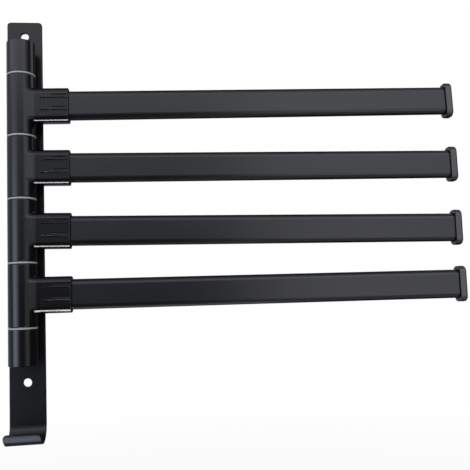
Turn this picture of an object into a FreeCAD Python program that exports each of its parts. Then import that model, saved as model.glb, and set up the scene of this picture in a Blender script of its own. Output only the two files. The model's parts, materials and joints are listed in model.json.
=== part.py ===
import FreeCAD, Part
import os
import Sketcher

# Swing arm towel bar: four flat arms turn on one post that stands in front of a wall strip with a hook.
# Millimetres. X runs along the arms at rest, Y runs into the wall, Z is up.
# The origin lies on the wall face, midway between the two wall screw holes.

os.makedirs("parts", exist_ok=True)
doc = FreeCAD.newDocument("swing_arm_towel_bar")
Vector = FreeCAD.Vector
ARM_NUMBERS = (1, 2, 3, 4)
WASHER_NUMBERS = (1, 2, 3, 4, 5)

# ---------------------------------------------------------------- driving sizes
DRIVING_SIZES = {
    # wall strip with its hook
    "strip_width": 28,  # width of the wall strip
    "strip_thickness": 2.5,  # thickness of the strip's steel
    "strip_corner_round": 3,  # radius of the strip's upper corners and of the hook lip's corners
    "strip_top_margin": 12.6,  # upper wall hole to the strip's upper end
    "wall_hole_spacing": 282.5,  # distance between the two wall screw holes
    "wall_hole_diameter": 6.5,  # wall screw holes
    "hook_drop": 32,  # lower wall hole to the start of the hook's bend
    "hook_outer_radius": 13.2,  # outer radius of the hook's bend
    "hook_tip_drop": 3.5,  # the lip's outer corner lies this far below the bend's centre
    # post
    "post_gap": 4,  # space between the strip's front and the sleeves
    "post_diameter": 22,  # outside of the sleeves and of the fixed post ends
    "first_washer_drop": 39.4,  # upper wall hole to the middle of the first washer
    "sleeve_pitch": 50,  # from one washer to the next
    "washer_thickness": 1.2,  # pale washers between the sleeves
    "washer_gap": 0.3,  # running gap between a washer and a turning sleeve
    "upper_end_length": 26.4,  # fixed post end above the first washer
    "lower_end_length": 27.8,  # fixed post end below the last washer
    "post_end_round": 1.2,  # rounding of the post's outer rims
    "post_end_bore": 16.5,  # pocket in a fixed post end
    "foot_width": 14,  # width of the foot that joins a post end to the strip
    "foot_inset": 2,  # the foot stops this far short of the post end's faces
    # spindle and what sits on it
    "spindle_diameter": 8,  # steel spindle through the post
    "spindle_head_diameter": 13,  # head of the spindle
    "spindle_head_height": 5,  # height of the spindle's head
    "spindle_key_width": 5,  # hexagon socket in the spindle's head, across flats
    "spindle_key_depth": 2.5,  # depth of that socket
    "spindle_reach": 1.5,  # the spindle stands out of its nut by this much
    "spindle_nut_width": 13,  # nut across its flats
    "spindle_nut_height": 6.5,  # height of the nut
    "spring_washer_diameter": 14,  # outside of the split spring washer
    "spring_washer_thickness": 2,  # height of the split spring washer
    "spring_washer_split": 1.5,  # width of its split
    "fixed_fit": 0.05,  # radial clearance of pieces that are fixed on the spindle
    "running_fit": 0.05,  # radial clearance between the bushes and the spindle
    "plug_thickness": 3,  # plug in the post's open end
    "plug_recess": 0.3,  # the plug lies this far inside the post's end
    "plug_fit": 0.1,  # radial clearance of the plug
    "end_space": 0.5,  # free space behind the plug
    # screws that hold the post ends on the strip
    "foot_screw_diameter": 4,  # countersunk screws from the back of the strip
    "foot_screw_length": 8,  # their length over all
    "foot_screw_head_diameter": 7.6,  # their head
    "foot_screw_head_height": 2,  # their head's cone
    "foot_screw_spacing": 14,  # distance between the two screws of one post end
    "screw_fit": 0.05,  # radial clearance around screws
    # bushes in the sleeves
    "sleeve_bore": 9.6,  # bore of a sleeve between its two bushes
    "bush_diameter": 12,  # outside of a bush
    "bush_length": 14,  # length of a bush
    "bush_flange_diameter": 16,  # flange of a bush
    "bush_flange_thickness": 1.5,  # thickness of that flange
    "bush_seat_fit": 0.03,  # radial clearance of a bush in its seat
    # socket of an arm connector
    "socket_height": 28.4,  # height of the socket
    "socket_depth": 13,  # depth of the socket, front to back
    "socket_corner_round": 5,  # rounding of the socket's long edges
    "socket_reach": 37.5,  # post axis to the socket's mouth
    "socket_floor": 13.5,  # post axis to the bottom of the socket
    "flare_reach": 14.6,  # post axis to where the socket's flared root ends
    "flare_start": 3.5,  # post axis to the root of that flare, which runs off the sleeve as a tangent
    "flare_inset": 0.1,  # the root lies this far inside the sleeve's front and back
    "socket_blend": 1.6,  # fillet between socket and sleeve
    "groove_spacing": 10,  # distance between the two grooves in the socket's face
    "groove_width": 1,  # width of a groove
    "groove_depth": 1.1,  # depth of a groove
    "panel_depth": 0.5,  # depth of the flat panel between the grooves
    "groove_start": 15.5,  # post axis to the grooves' inner end
    "groove_margin": 1.2,  # the grooves stop this far short of the socket's mouth
    # arm tube, end cap and the screw that holds them
    "tube_height": 23.8,  # height of the flat oval tube
    "tube_depth": 9,  # depth of the tube, front to back
    "tube_wall": 1.2,  # wall of the tube
    "tube_fit": 0.1,  # clearance all round between the tube and its socket
    "arm_length": 360,  # post axis to the outer face of the end cap
    "cap_height": 29.8,  # height of the end cap's rim
    "cap_depth": 13,  # depth of the rim, front to back
    "cap_thickness": 4.7,  # thickness of the rim
    "cap_edge_round": 1.5,  # rounding of the rim's outer edge
    "cap_shoulder_round": 0.8,  # rounding of the rim's edge on the arm's side
    "cap_seam": 0.3,  # seam between the tube's end and the rim
    "cap_plug_length": 14,  # the cap's plug reaches this far into the tube
    "cap_plug_fit": 0.12,  # clearance all round between plug and tube
    "arm_screw_diameter": 3.5,  # screw at the back of the socket
    "arm_screw_length": 6,  # its length under the head
    "arm_screw_head_diameter": 6.5,  # its head
    "arm_screw_head_height": 2,  # height of its head
    "arm_screw_distance": 26,  # post axis to that screw
    # each arm stands a little off level, as the photographed one does
    "rise_of_arm_1": 0.56,  # degrees, positive rises towards the end cap
    "rise_of_arm_2": -0.38,  # degrees
    "rise_of_arm_3": -1.12,  # degrees
    "rise_of_arm_4": -0.76,  # degrees
}
sizes = doc.addObject("Spreadsheet::Sheet", "sizes")
for row, (alias, amount) in enumerate(DRIVING_SIZES.items(), start=1):
    sizes.set("A%d" % row, alias)
    sizes.set("B%d" % row, str(amount))
    sizes.setAlias("B%d" % row, alias)
doc.recompute()

# ---------------------------------------------------------------- places worked out from the sizes
POST_AXIS_Y = "-(sizes.strip_thickness + sizes.post_gap + sizes.post_diameter / 2)"
FOOT_REACH = "(sizes.post_gap + sizes.post_diameter / 2)"
FIRST_WASHER_Z = "(sizes.wall_hole_spacing / 2 - sizes.first_washer_drop)"
LAST_WASHER_Z = "(%s - 4 * sizes.sleeve_pitch)" % FIRST_WASHER_Z
SLEEVE_LENGTH = "(sizes.sleeve_pitch - sizes.washer_thickness - 2 * sizes.washer_gap)"
UPPER_POCKET = "(sizes.plug_recess + sizes.plug_thickness + sizes.end_space + sizes.spindle_head_height)"
LOWER_POCKET = ("(sizes.plug_recess + sizes.plug_thickness + sizes.end_space + sizes.spindle_reach"
                " + sizes.spindle_nut_height + sizes.spring_washer_thickness)")
UPPER_FLOOR_Z = "(%s + sizes.washer_thickness / 2 + sizes.upper_end_length - %s)" % (FIRST_WASHER_Z, UPPER_POCKET)
LOWER_FLOOR_Z = "(%s - sizes.washer_thickness / 2 - sizes.lower_end_length + %s)" % (LAST_WASHER_Z, LOWER_POCKET)
SPINDLE_SHANK = ("(%s - %s + sizes.spring_washer_thickness + sizes.spindle_nut_height + sizes.spindle_reach)"
                 % (UPPER_FLOOR_Z, LOWER_FLOOR_Z))
TUBE_END = "(sizes.arm_length - sizes.cap_thickness - sizes.cap_seam)"


def number(expression):
    """The present value of an expression over the sheet."""
    return float(sizes.evalExpression(expression))


# ---------------------------------------------------------------- helpers
def new_body(name, y="0", z="0", rise="0"):
    """A body whose own origin lies at x = 0, y, z and whose X axis rises by the given degrees."""
    body = doc.addObject("PartDesign::Body", name)
    body.Label = name
    body.setExpression("Placement", "placement(vector(0; %s; %s); rotation(vector(0; 1; 0); -(%s) * 1 deg))"
                       % (y, z, rise))
    return body


def origin_plane(body, plane):
    return [(feature, "") for feature in body.Origin.OriginFeatures if feature.Role == plane]


def attach(feature, body, plane, x="0", y="0", lift="0", turn="0", turn_axis="0; 0; 1"):
    """Attach to a plane of the body, moved in the plane's own x, y and normal and turned by degrees."""
    feature.AttachmentSupport = origin_plane(body, plane)
    feature.MapMode = "FlatFace"
    feature.setExpression("AttachmentOffset", "placement(vector(%s; %s; %s); rotation(vector(%s); (%s) * 1 deg))"
                          % (x, y, lift, turn_axis, turn))


def cylinder(body, name, kind, plane, diameter, height, **place):
    feature = body.newObject("PartDesign::%sCylinder" % kind, name)
    attach(feature, body, plane, **place)
    feature.setExpression("Radius", "(%s) / 2" % diameter)
    feature.setExpression("Height", height)
    return feature


def box(body, name, kind, plane, length, width, height, **place):
    feature = body.newObject("PartDesign::%sBox" % kind, name)
    attach(feature, body, plane, **place)
    feature.setExpression("Length", length)
    feature.setExpression("Width", width)
    feature.setExpression("Height", height)
    return feature


def hexagon(body, name, kind, plane, flats, height, **place):
    feature = body.newObject("PartDesign::%sPrism" % kind, name)
    attach(feature, body, plane, **place)
    feature.Polygon = 6
    feature.setExpression("Circumradius", "(%s) / sqrt(3)" % flats)
    feature.setExpression("Height", height)
    return feature


def new_sketch(body, name, plane, **place):
    sketch = body.newObject("Sketcher::SketchObject", name)
    attach(sketch, body, plane, **place)
    return sketch


def dimension(sketch, expression, *constraint):
    """Add a dimension and bind it to an expression over the sheet."""
    index = sketch.addConstraint(Sketcher.Constraint(*constraint, number(expression)))
    sketch.setExpression("Constraints[%d]" % index, expression)


def draw_oval(sketch, width, height):
    """An upright oval with half-round ends, centred on the sketch's origin."""
    normal = Vector(0, 0, 1)
    radius = number(width) / 2
    rise = number(height) / 2 - radius
    half_turn = 3.141592653589793
    top = sketch.addGeometry(Part.ArcOfCircle(Part.Circle(Vector(0, rise, 0), normal, radius), 0, half_turn))
    left = sketch.addGeometry(Part.LineSegment(Vector(-radius, rise, 0), Vector(-radius, -rise, 0)))
    bottom = sketch.addGeometry(
        Part.ArcOfCircle(Part.Circle(Vector(0, -rise, 0), normal, radius), half_turn, 2 * half_turn))
    right = sketch.addGeometry(Part.LineSegment(Vector(radius, -rise, 0), Vector(radius, rise, 0)))
    for first, second in ((top, left), (left, bottom), (bottom, right), (right, top)):
        sketch.addConstraint(Sketcher.Constraint("Tangent", first, 2, second, 1))
    sketch.addConstraint(Sketcher.Constraint("PointOnObject", top, 3, -2))
    sketch.addConstraint(Sketcher.Constraint("Symmetric", top, 3, bottom, 3, -1, 1))
    sketch.addConstraint(Sketcher.Constraint("Equal", top, bottom))
    dimension(sketch, "(%s) / 2" % width, "Radius", top)
    dimension(sketch, "(%s) - (%s)" % (height, width), "DistanceY", bottom, 3, top, 3)


def draw_rounded_rectangle(sketch, width, height, corner):
    """A rectangle with round corners, centred on the sketch's origin."""
    normal = Vector(0, 0, 1)
    quarter_turn = 3.141592653589793 / 2
    radius = number(corner)
    reach_x = number(width) / 2 - radius
    reach_y = number(height) / 2 - radius
    corners = ((reach_x, reach_y), (-reach_x, reach_y), (-reach_x, -reach_y), (reach_x, -reach_y))
    arcs = []
    for turn, (x, y) in enumerate(corners):
        circle = Part.Circle(Vector(x, y, 0), normal, radius)
        arcs.append(sketch.addGeometry(Part.ArcOfCircle(circle, turn * quarter_turn, (turn + 1) * quarter_turn)))
    upper = sketch.addGeometry(Part.LineSegment(Vector(reach_x, reach_y + radius, 0),
                                                Vector(-reach_x, reach_y + radius, 0)))
    left = sketch.addGeometry(Part.LineSegment(Vector(-reach_x - radius, reach_y, 0),
                                               Vector(-reach_x - radius, -reach_y, 0)))
    lower = sketch.addGeometry(Part.LineSegment(Vector(-reach_x, -reach_y - radius, 0),
                                                Vector(reach_x, -reach_y - radius, 0)))
    right = sketch.addGeometry(Part.LineSegment(Vector(reach_x + radius, -reach_y, 0),
                                                Vector(reach_x + radius, reach_y, 0)))
    around = (arcs[0], upper, arcs[1], left, arcs[2], lower, arcs[3], right)
    for first, second in zip(around, around[1:] + around[:1]):
        sketch.addConstraint(Sketcher.Constraint("Tangent", first, 2, second, 1))
    for line in (upper, lower):
        sketch.addConstraint(Sketcher.Constraint("Horizontal", line))
    for line in (left, right):
        sketch.addConstraint(Sketcher.Constraint("Vertical", line))
    for first, second in ((arcs[0], arcs[1]), (arcs[1], arcs[2]), (arcs[2], arcs[3])):
        sketch.addConstraint(Sketcher.Constraint("Equal", first, second))
    sketch.addConstraint(Sketcher.Constraint("Symmetric", arcs[0], 3, arcs[2], 3, -1, 1))
    dimension(sketch, corner, "Radius", arcs[0])
    dimension(sketch, width, "DistanceX", left, 1, right, 1)
    dimension(sketch, height, "DistanceY", lower, 1, upper, 1)


def pad(body, sketch, name, length, middle=False, backwards=False):
    feature = body.newObject("PartDesign::Pad", name)
    feature.Profile = sketch
    feature.setExpression("Length", length)
    feature.Midplane = middle
    feature.Reversed = backwards
    return feature


def loft(body, first_sketch, last_sketch, name):
    """Straight walls from one outline to the next."""
    feature = body.newObject("PartDesign::AdditiveLoft", name)
    feature.Profile = first_sketch
    feature.Sections = [last_sketch]
    feature.Ruled = True
    return feature


def pocket(body, sketch, name, length, forwards=False):
    feature = body.newObject("PartDesign::Pocket", name)
    feature.Profile = sketch
    feature.setExpression("Length", length)
    feature.Reversed = forwards
    return feature


def fillet(body, name, base, radius, wanted):
    """Round the edges of the base feature that the given test picks."""
    doc.recompute()
    names = ["Edge%d" % (i + 1) for i, edge in enumerate(base.Shape.Edges) if wanted(edge)]
    feature = body.newObject("PartDesign::Fillet", name)
    feature.Base = (base, names)
    feature.setExpression("Radius", radius)
    return feature


def lies_in_plane(edge, x):
    """An edge in the plane across the body's X axis at the given x."""
    return all(abs(vertex.X - x) < 0.001 for vertex in edge.Vertexes)


def is_circle_at(edge, radius, height):
    """A full circle around the body's Z axis at one height."""
    curve = edge.Curve
    if not isinstance(curve, Part.Circle) or len(edge.Vertexes) > 1:
        return False
    return (abs(curve.Radius - radius) < 0.001 and abs(curve.Center.z - height) < 0.001
            and abs(curve.Center.x) < 0.001 and abs(curve.Center.y) < 0.001)


# ---------------------------------------------------------------- wall strip with its hook
strip = new_body("wall_strip")
profile = new_sketch(strip, "strip_profile", "YZ_Plane")
strip_top = number("sizes.wall_hole_spacing / 2 + sizes.strip_top_margin")
bend_z = -number("sizes.wall_hole_spacing / 2 + sizes.hook_drop")
thickness = number("sizes.strip_thickness")
outer_radius = number("sizes.hook_outer_radius")
inner_radius = outer_radius - thickness
tip_drop = number("sizes.hook_tip_drop")
bend_centre = Vector(-outer_radius, bend_z, 0)


def point_on_bend(radius):
    """Where the lip ends, on the bend's outer or inner arc."""
    drop = tip_drop * radius / outer_radius
    return Vector(bend_centre.x - (radius ** 2 - drop ** 2) ** 0.5, bend_z - drop, 0)


def bend_arc(radius):
    low = Vector(bend_centre.x, bend_z - radius, 0)
    return Part.Arc(point_on_bend(radius), low, Vector(bend_centre.x + radius, bend_z, 0))


back_line = profile.addGeometry(Part.LineSegment(Vector(0, bend_z, 0), Vector(0, strip_top, 0)))
top_line = profile.addGeometry(Part.LineSegment(Vector(0, strip_top, 0), Vector(-thickness, strip_top, 0)))
front_line = profile.addGeometry(Part.LineSegment(Vector(-thickness, strip_top, 0), Vector(-thickness, bend_z, 0)))
inner_arc = profile.addGeometry(bend_arc(inner_radius))
tip_line = profile.addGeometry(Part.LineSegment(point_on_bend(inner_radius), point_on_bend(outer_radius)))
outer_arc = profile.addGeometry(bend_arc(outer_radius))
profile.addConstraint([
    Sketcher.Constraint("Coincident", back_line, 2, top_line, 1),
    Sketcher.Constraint("Coincident", top_line, 2, front_line, 1),
    Sketcher.Constraint("Tangent", front_line, 2, inner_arc, 2),
    Sketcher.Constraint("Coincident", inner_arc, 1, tip_line, 1),
    Sketcher.Constraint("Coincident", tip_line, 2, outer_arc, 1),
    Sketcher.Constraint("Tangent", outer_arc, 2, back_line, 1),
    Sketcher.Constraint("Coincident", inner_arc, 3, outer_arc, 3),
    Sketcher.Constraint("PointOnObject", back_line, 1, -2),
    Sketcher.Constraint("Vertical", back_line),
    Sketcher.Constraint("Vertical", front_line),
    Sketcher.Constraint("Horizontal", top_line),
])
dimension(profile, "sizes.wall_hole_spacing / 2 + sizes.strip_top_margin", "DistanceY", -1, 1, back_line, 2)
dimension(profile, "sizes.wall_hole_spacing / 2 + sizes.hook_drop", "DistanceY", back_line, 1, -1, 1)
dimension(profile, "sizes.hook_outer_radius", "Radius", outer_arc)
dimension(profile, "sizes.hook_outer_radius - sizes.strip_thickness", "Radius", inner_arc)
dimension(profile, "sizes.hook_tip_drop", "DistanceY", outer_arc, 1, outer_arc, 3)
dimension(profile, "sizes.hook_tip_drop * (sizes.hook_outer_radius - sizes.strip_thickness)"
          " / sizes.hook_outer_radius", "DistanceY", inner_arc, 1, inner_arc, 3)
bent_strip = pad(strip, profile, "bent_strip", "sizes.strip_width", middle=True)


def is_strip_corner(edge):
    """The short edges at the strip's upper corners and at the hook lip's corners."""
    if len(edge.Vertexes) != 2 or abs(edge.Length - thickness) > 0.001:
        return False
    first, second = [vertex.Point for vertex in edge.Vertexes]
    along_side = abs(abs(first.x) - number("sizes.strip_width / 2")) < 0.001 and abs(first.x - second.x) < 0.001
    return along_side


rounded_strip = fillet(strip, "strip_corners", bent_strip, "sizes.strip_corner_round", is_strip_corner)
for place, sign in (("upper", ""), ("lower", "-")):
    cylinder(strip, "%s_wall_hole" % place, "Subtractive", "XZ_Plane", "sizes.wall_hole_diameter",
             "sizes.strip_thickness", y=sign + "sizes.wall_hole_spacing / 2")

UPPER_END_MIDDLE = "(%s + sizes.washer_thickness / 2 + sizes.upper_end_length / 2)" % FIRST_WASHER_Z
LOWER_END_MIDDLE = "(%s - sizes.washer_thickness / 2 - sizes.lower_end_length / 2)" % LAST_WASHER_Z
foot_screw_heights = []
for end_name, middle_z in (("upper_end", UPPER_END_MIDDLE), ("lower_end", LOWER_END_MIDDLE)):
    for row_name, sign in (("high", "+"), ("low", "-")):
        foot_screw_heights.append(("%s_%s" % (end_name, row_name),
                                   "%s %s sizes.foot_screw_spacing / 2" % (middle_z, sign)))
for screw_name, screw_z in foot_screw_heights:
    cylinder(strip, "%s_hole" % screw_name, "Subtractive", "XZ_Plane",
             "sizes.foot_screw_diameter + 2 * sizes.screw_fit", "sizes.strip_thickness", y=screw_z)
    sink = strip.newObject("PartDesign::SubtractiveCone", "%s_sink" % screw_name)
    attach(sink, strip, "XZ_Plane", y=screw_z)
    sink.setExpression("Radius1", "sizes.foot_screw_head_diameter / 2 + sizes.screw_fit")
    sink.setExpression("Radius2", "sizes.foot_screw_diameter / 2 + sizes.screw_fit")
    sink.setExpression("Height", "sizes.foot_screw_head_height")

# ---------------------------------------------------------------- fixed post ends
END_OUTER = "sizes.post_diameter"


def post_end(name, low_z, length, pocket_depth, opens_upwards):
    """A fixed end of the post, with its foot, its screw holes and the pocket behind the plug."""
    body = new_body(name, y=POST_AXIS_Y, z=low_z)
    round_part = cylinder(body, name + "_round", "Additive", "XY_Plane", END_OUTER, length)
    rim_height = number(length) if opens_upwards else 0
    rim_radius = number(END_OUTER) / 2
    fillet(body, name + "_rim", round_part, "sizes.post_end_round",
           lambda edge: is_circle_at(edge, rim_radius, rim_height))
    box(body, name + "_foot", "Additive", "XY_Plane", "sizes.foot_width", FOOT_REACH,
        "%s - 2 * sizes.foot_inset" % length, x="-sizes.foot_width / 2", y="0", lift="sizes.foot_inset")
    cylinder(body, name + "_bore", "Subtractive", "XY_Plane",
             "sizes.spindle_diameter + 2 * sizes.fixed_fit", length)
    pocket_start = "%s - %s" % (length, pocket_depth) if opens_upwards else "0"
    cylinder(body, name + "_pocket", "Subtractive", "XY_Plane", "sizes.post_end_bore", pocket_depth,
             lift=pocket_start)
    for row_name, sign in (("high", "+"), ("low", "-")):
        cylinder(body, "%s_%s_thread" % (name, row_name), "Subtractive", "XZ_Plane",
                 "sizes.foot_screw_diameter + 2 * sizes.screw_fit",
                 "sizes.foot_screw_length - sizes.strip_thickness + 0.2",
                 y="%s / 2 %s sizes.foot_screw_spacing / 2" % (length, sign), lift="-" + FOOT_REACH)
    return body


UPPER_END_LOW = "%s + sizes.washer_thickness / 2" % FIRST_WASHER_Z
LOWER_END_LOW = "%s - sizes.washer_thickness / 2 - sizes.lower_end_length" % LAST_WASHER_Z
post_end("upper_post_end", UPPER_END_LOW, "sizes.upper_end_length", UPPER_POCKET, True)
post_end("lower_post_end", LOWER_END_LOW, "sizes.lower_end_length", LOWER_POCKET, False)

PLUG_DIAMETER = "sizes.post_end_bore - 2 * sizes.plug_fit"
UPPER_PLUG_Z = "%s + sizes.upper_end_length - sizes.plug_recess - sizes.plug_thickness" % UPPER_END_LOW
LOWER_PLUG_Z = "%s + sizes.plug_recess" % LOWER_END_LOW
for plug_name, plug_z in (("upper_post_plug", UPPER_PLUG_Z), ("lower_post_plug", LOWER_PLUG_Z)):
    plug = new_body(plug_name, y=POST_AXIS_Y, z=plug_z)
    cylinder(plug, plug_name + "_disc", "Additive", "XY_Plane", PLUG_DIAMETER, "sizes.plug_thickness")

# four countersunk screws hold the two post ends: one node, four solids
foot_screws = []
for screw_name, screw_z in foot_screw_heights:
    head = doc.addObject("Part::Cone", "%s_screw_head" % screw_name)
    head.setExpression("Radius1", "sizes.foot_screw_head_diameter / 2")
    head.setExpression("Radius2", "sizes.foot_screw_diameter / 2")
    head.setExpression("Height", "sizes.foot_screw_head_height")
    shank = doc.addObject("Part::Cylinder", "%s_screw_shank" % screw_name)
    shank.setExpression("Radius", "sizes.foot_screw_diameter / 2")
    shank.setExpression("Height", "sizes.foot_screw_length")
    for piece in (head, shank):
        piece.setExpression("Placement", "placement(vector(0; 0; %s); rotation(vector(1; 0; 0); 90 deg))" % screw_z)
    screw = doc.addObject("Part::Fuse", "%s_screw" % screw_name)
    screw.Base = head
    screw.Tool = shank
    foot_screws.append(screw)
foot_screw_group = doc.addObject("Part::Compound", "post_end_screws")
foot_screw_group.Label = "post_end_screws"
foot_screw_group.Links = foot_screws

# ---------------------------------------------------------------- spindle, its nut and its spring washer
spindle = new_body("spindle", y=POST_AXIS_Y, z=UPPER_FLOOR_Z)
cylinder(spindle, "spindle_shank", "Additive", "XY_Plane", "sizes.spindle_diameter", SPINDLE_SHANK,
         lift="-" + SPINDLE_SHANK)
cylinder(spindle, "spindle_head", "Additive", "XY_Plane", "sizes.spindle_head_diameter",
         "sizes.spindle_head_height")
hexagon(spindle, "spindle_key", "Subtractive", "XY_Plane", "sizes.spindle_key_width", "sizes.spindle_key_depth",
        lift="sizes.spindle_head_height - sizes.spindle_key_depth")

ON_SPINDLE = "sizes.spindle_diameter + 2 * sizes.fixed_fit"
spring_washer = new_body("spring_washer", y=POST_AXIS_Y,
                         z="%s - sizes.spring_washer_thickness" % LOWER_FLOOR_Z)
cylinder(spring_washer, "spring_washer_ring", "Additive", "XY_Plane", "sizes.spring_washer_diameter",
         "sizes.spring_washer_thickness")
cylinder(spring_washer, "spring_washer_hole", "Subtractive", "XY_Plane", ON_SPINDLE,
         "sizes.spring_washer_thickness")
box(spring_washer, "spring_washer_slit", "Subtractive", "XY_Plane", "sizes.spring_washer_diameter",
    "sizes.spring_washer_split", "sizes.spring_washer_thickness", y="-sizes.spring_washer_split / 2")

nut = new_body("spindle_nut", y=POST_AXIS_Y,
               z="%s - sizes.spring_washer_thickness - sizes.spindle_nut_height" % LOWER_FLOOR_Z)
hexagon(nut, "nut_hexagon", "Additive", "XY_Plane", "sizes.spindle_nut_width", "sizes.spindle_nut_height")
cylinder(nut, "nut_thread", "Subtractive", "XY_Plane", ON_SPINDLE, "sizes.spindle_nut_height")

# ---------------------------------------------------------------- pale washers between the sleeves
for number_of_washer in WASHER_NUMBERS:
    washer_name = "friction_washer_%d" % number_of_washer
    washer_z = "%s - %d * sizes.sleeve_pitch - sizes.washer_thickness / 2" % (FIRST_WASHER_Z, number_of_washer - 1)
    washer = new_body(washer_name, y=POST_AXIS_Y, z=washer_z)
    cylinder(washer, washer_name + "_disc", "Additive", "XY_Plane", "sizes.post_diameter",
             "sizes.washer_thickness")
    cylinder(washer, washer_name + "_hole", "Subtractive", "XY_Plane", ON_SPINDLE, "sizes.washer_thickness")

# ---------------------------------------------------------------- the four arms
BUSH_SEAT = "sizes.bush_diameter + 2 * sizes.bush_seat_fit"
FLANGE_SEAT = "sizes.bush_flange_diameter + 2 * sizes.bush_seat_fit"
BUSH_BORE = "sizes.spindle_diameter + 2 * sizes.running_fit"
CAVITY_WIDTH = "sizes.tube_depth + 2 * sizes.tube_fit"
CAVITY_HEIGHT = "sizes.tube_height + 2 * sizes.tube_fit"
CAVITY_LENGTH = "(sizes.socket_reach - sizes.socket_floor)"
GROOVE_LENGTH = "(sizes.socket_reach - sizes.groove_margin - sizes.groove_start)"
FLARE_ROOT_DEPTH = ("(2 * sqrt((sizes.post_diameter / 2) ^ 2 - sizes.flare_start ^ 2)"
                    " - 2 * sizes.flare_inset)")
SCREW_HOLE = "sizes.arm_screw_diameter + 2 * sizes.screw_fit"
INNER_WIDTH = "sizes.tube_depth - 2 * sizes.tube_wall"
INNER_HEIGHT = "sizes.tube_height - 2 * sizes.tube_wall"
sleeve_radius = number("sizes.post_diameter") / 2
socket_half_height = number("sizes.socket_height") / 2


def is_socket_root(edge):
    """The edges where the socket leaves the round sleeve."""
    low, high = edge.ParameterRange
    points = [edge.valueAt(low + (high - low) * step / 4) for step in range(5)]
    on_sleeve = all(abs((point.x ** 2 + point.y ** 2) ** 0.5 - sleeve_radius) < 0.01 for point in points)
    near_socket = all(abs(point.z) < socket_half_height + 1 and point.x > 0 for point in points)
    return on_sleeve and near_socket


def leaned(distance, rise, across="0"):
    """Place along the leaning arm axis in the XZ plane: x and y of the plane for a point on the axis."""
    cosine, sine = "cos((%s) * 1 deg)" % rise, "sin((%s) * 1 deg)" % rise
    x = "(%s) * %s - (%s) * %s" % (distance, cosine, across, sine)
    y = "(%s) * %s + (%s) * %s" % (distance, sine, across, cosine)
    return x, y


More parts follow.
